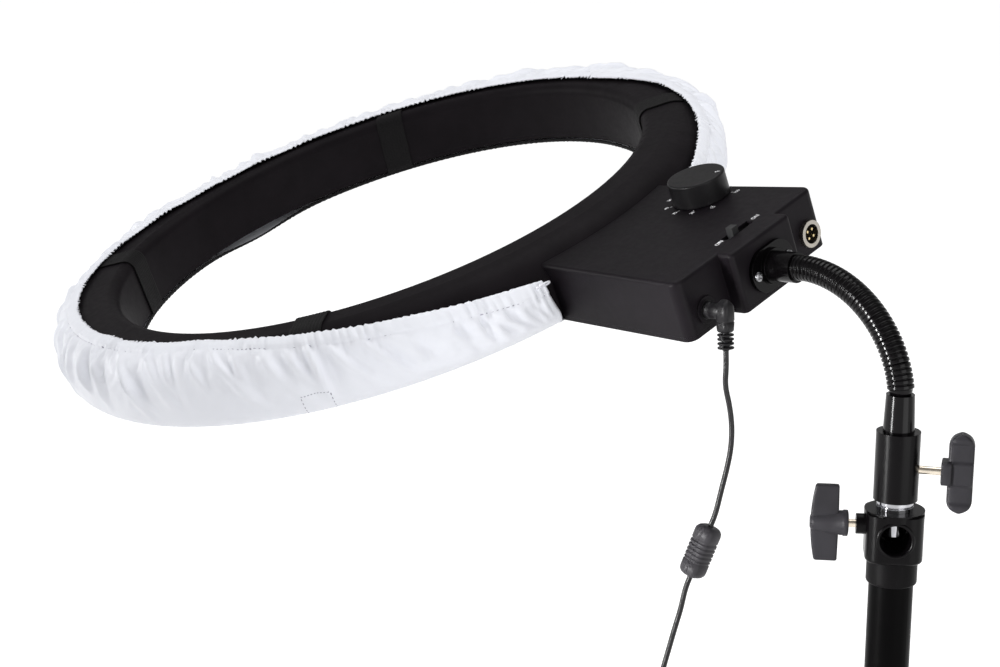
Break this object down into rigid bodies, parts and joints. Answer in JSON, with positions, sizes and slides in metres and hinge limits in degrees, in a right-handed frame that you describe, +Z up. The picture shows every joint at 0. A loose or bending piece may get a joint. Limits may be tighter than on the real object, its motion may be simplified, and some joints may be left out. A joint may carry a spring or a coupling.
{
  "type": "led ring light",
  "caption": "Large fabric-covered ring light with a rear control box, on a short ribbed gooseneck clamped to the top of a light stand, with a coiled power lead.",
  "frame": {"origin": "on the stand tube's axis at its lower end, where it enters the next section of the stand", "axes": "+Z up along the stand tube, -X from the stand towards the ring, +Y to the battery socket's side"},
  "size_m": [0.7298, 0.4676, 0.4934],
  "materials": {
    "housing_black": "fine moulded",
    "box_black": "satin moulded",
    "opal": "opal sheet",
    "board": "white solder mask",
    "led": "phosphor",
    "zinc_screw": "zinc plated",
    "cloth": "thin white woven",
    "elastic": "white binding",
    "strap_black": "black webbing",
    "knob_black": "satin",
    "pot_metal": "turned",
    "pot_body": "moulded",
    "lever_black": "moulded",
    "nickel": "nickel plated",
    "insert_black": "moulded",
    "pin_gold": "plated",
    "neck_black": "glossy black coat",
    "clamp_black": "satin black",
    "chrome": "polished",
    "pad_brass": "turned",
    "screw_bright": "bright plated",
    "grip_plastic": "moulded grip",
    "tube_black": "semi gloss black",
    "collar_plastic": "moulded",
    "plug_metal": "plated",
    "cord_rubber": "matte",
    "bead_plastic": "moulded",
    "adapter_plastic": "fine grained"
  },
  "bodies": {
    "stand": {"stand_tube": "tube_black", "collar": "collar_plastic", "stand_head": "clamp_black", "spigot": "chrome"},
    "stand_screw_tip": {"stand_pad": "pad_brass"},
    "stand_clamp_knob": {"stand_knob": "grip_plastic", "stand_screw": "screw_bright"},
    "socket": {"socket_tube": "clamp_black", "lower_sleeve": "neck_black"},
    "socket_screw_tip": {"socket_pad": "pad_brass"},
    "socket_clamp_knob": {"socket_knob": "grip_plastic", "socket_screw": "screw_bright"},
    "neck_link_1": {"neck_link_1": "neck_black"},
    "neck_link_2": {"neck_link_2": "neck_black"},
    "neck_link_3": {"neck_link_3": "neck_black"},
    "neck_link_4": {"neck_link_4": "neck_black"},
    "neck_link_5": {"neck_link_5": "neck_black"},
    "neck_link_6": {"neck_link_6": "neck_black"},
    "neck_link_7": {"neck_link_7": "neck_black"},
    "head": {"rear_housing": "housing_black", "front_bezel": "housing_black", "diffuser_plate": "opal", "led_board": "board", "led_chips": "led", "board_screws": "zinc_screw", "bezel_screws": "zinc_screw", "fabric_cover": "cloth", "inner_hem": "elastic", "hold_straps": "strap_black", "box_shell": "box_black", "box_base": "box_black", "base_screws": "zinc_screw", "dimmer_pot": "pot_body", "pot_nut": "pot_metal", "switch_body": "pot_body", "dc_jack": "pot_body", "battery_socket": "nickel", "battery_insert": "insert_black", "battery_pins": "pin_gold", "control_board": "board", "mount_flange": "neck_black", "flange_screws": "zinc_screw", "neck_end": "neck_black", "dc_plug_tip": "plug_metal", "dc_plug_body": "cord_rubber", "plug_relief": "cord_rubber", "cord_upper": "cord_rubber", "ferrite_bead": "bead_plastic", "cord_lower": "cord_rubber", "cord_coil": "cord_rubber", "coil_tie": "strap_black", "cord_tail": "cord_rubber", "adapter_relief": "cord_rubber", "power_adapter": "adapter_plastic", "adapter_pins": "pin_gold"},
    "dimmer": {"dimmer_knob": "knob_black", "pot_shaft": "pot_metal"},
    "switch": {"switch_lever": "lever_black"}
  },
  "joints": [
    {"name": "head_pan", "type": "hinge", "parent": "stand", "child": "socket", "pos_m": [0, 0, 0.2967], "axis": [0, 0, 1], "range_deg": [-120, 120]},
    {"name": "neck_tip", "type": "hinge", "parent": "socket", "child": "neck_link_1", "pos_m": [0, 0, 0.3586], "axis": [1, 0, 0], "range_deg": [-15, 15]},
    {"name": "neck_bend", "type": "hinge", "parent": "neck_link_1", "child": "neck_link_2", "pos_m": [-0.00352, 0, 0.37174], "axis": [0, 1, 0], "range_deg": [-2.5, 15]},
    {"name": "neck_bend_2", "type": "hinge", "parent": "neck_link_2", "child": "neck_link_3", "pos_m": [-0.00982, 0, 0.38379], "axis": [0, 1, 0], "range_deg": [-2.31, 13.82]},
    {"name": "neck_bend_3", "type": "hinge", "parent": "neck_link_3", "child": "neck_link_4", "pos_m": [-0.01842, 0, 0.39433], "axis": [0, 1, 0], "range_deg": [-2.23, 13.34]},
    {"name": "neck_bend_4", "type": "hinge", "parent": "neck_link_4", "child": "neck_link_5", "pos_m": [-0.0289, 0, 0.403], "axis": [0, 1, 0], "range_deg": [-2.23, 13.34]},
    {"name": "neck_bend_5", "type": "hinge", "parent": "neck_link_5", "child": "neck_link_6", "pos_m": [-0.04086, 0, 0.40947], "axis": [0, 1, 0], "range_deg": [-2.23, 13.34]},
    {"name": "neck_bend_6", "type": "hinge", "parent": "neck_link_6", "child": "neck_link_7", "pos_m": [-0.05385, 0, 0.41349], "axis": [0, 1, 0], "range_deg": [-2.17, 12.99]},
    {"name": "neck_bend_7", "type": "hinge", "parent": "neck_link_7", "child": "head", "pos_m": [-0.06737, 0, 0.41498], "axis": [0, 1, 0], "range_deg": [-2.09, 12.51]},
    {"name": "dimmer_turn", "type": "hinge", "parent": "head", "child": "dimmer", "pos_m": [-0.17537, 0.02961, 0.4397], "axis": [-0.0688, -0.3437, 0.9366], "range_deg": [0, 300]},
    {"name": "switch_slide", "type": "slide", "parent": "head", "child": "switch", "axis": [-0.0252, 0.9391, 0.3427], "range_m": [0, 0.008]},
    {"name": "socket_tip_slide", "type": "slide", "parent": "socket", "child": "socket_screw_tip", "axis": [0.8387, 0.5446, 0], "range_m": [0, 0.0016]},
    {"name": "socket_clamp_turn", "type": "hinge", "parent": "socket_screw_tip", "child": "socket_clamp_knob", "pos_m": [0, 0, 0.3142], "axis": [0.8387, 0.5446, 0], "range_deg": [0, 721]},
    {"name": "stand_tip_slide", "type": "slide", "parent": "stand", "child": "stand_screw_tip", "axis": [-0.7547, -0.6561, 0], "range_m": [0, 0.0016]},
    {"name": "stand_clamp_turn", "type": "hinge", "parent": "stand_screw_tip", "child": "stand_clamp_knob", "pos_m": [0, 0, 0.2815], "axis": [-0.7547, -0.6561, 0], "range_deg": [0, 721]}
  ],
  "couplings": [
    {"joint": "socket_clamp_turn", "follows": "socket_tip_slide", "rad_per_m": 7854},
    {"joint": "stand_clamp_turn", "follows": "stand_tip_slide", "rad_per_m": 7854}
  ]
}
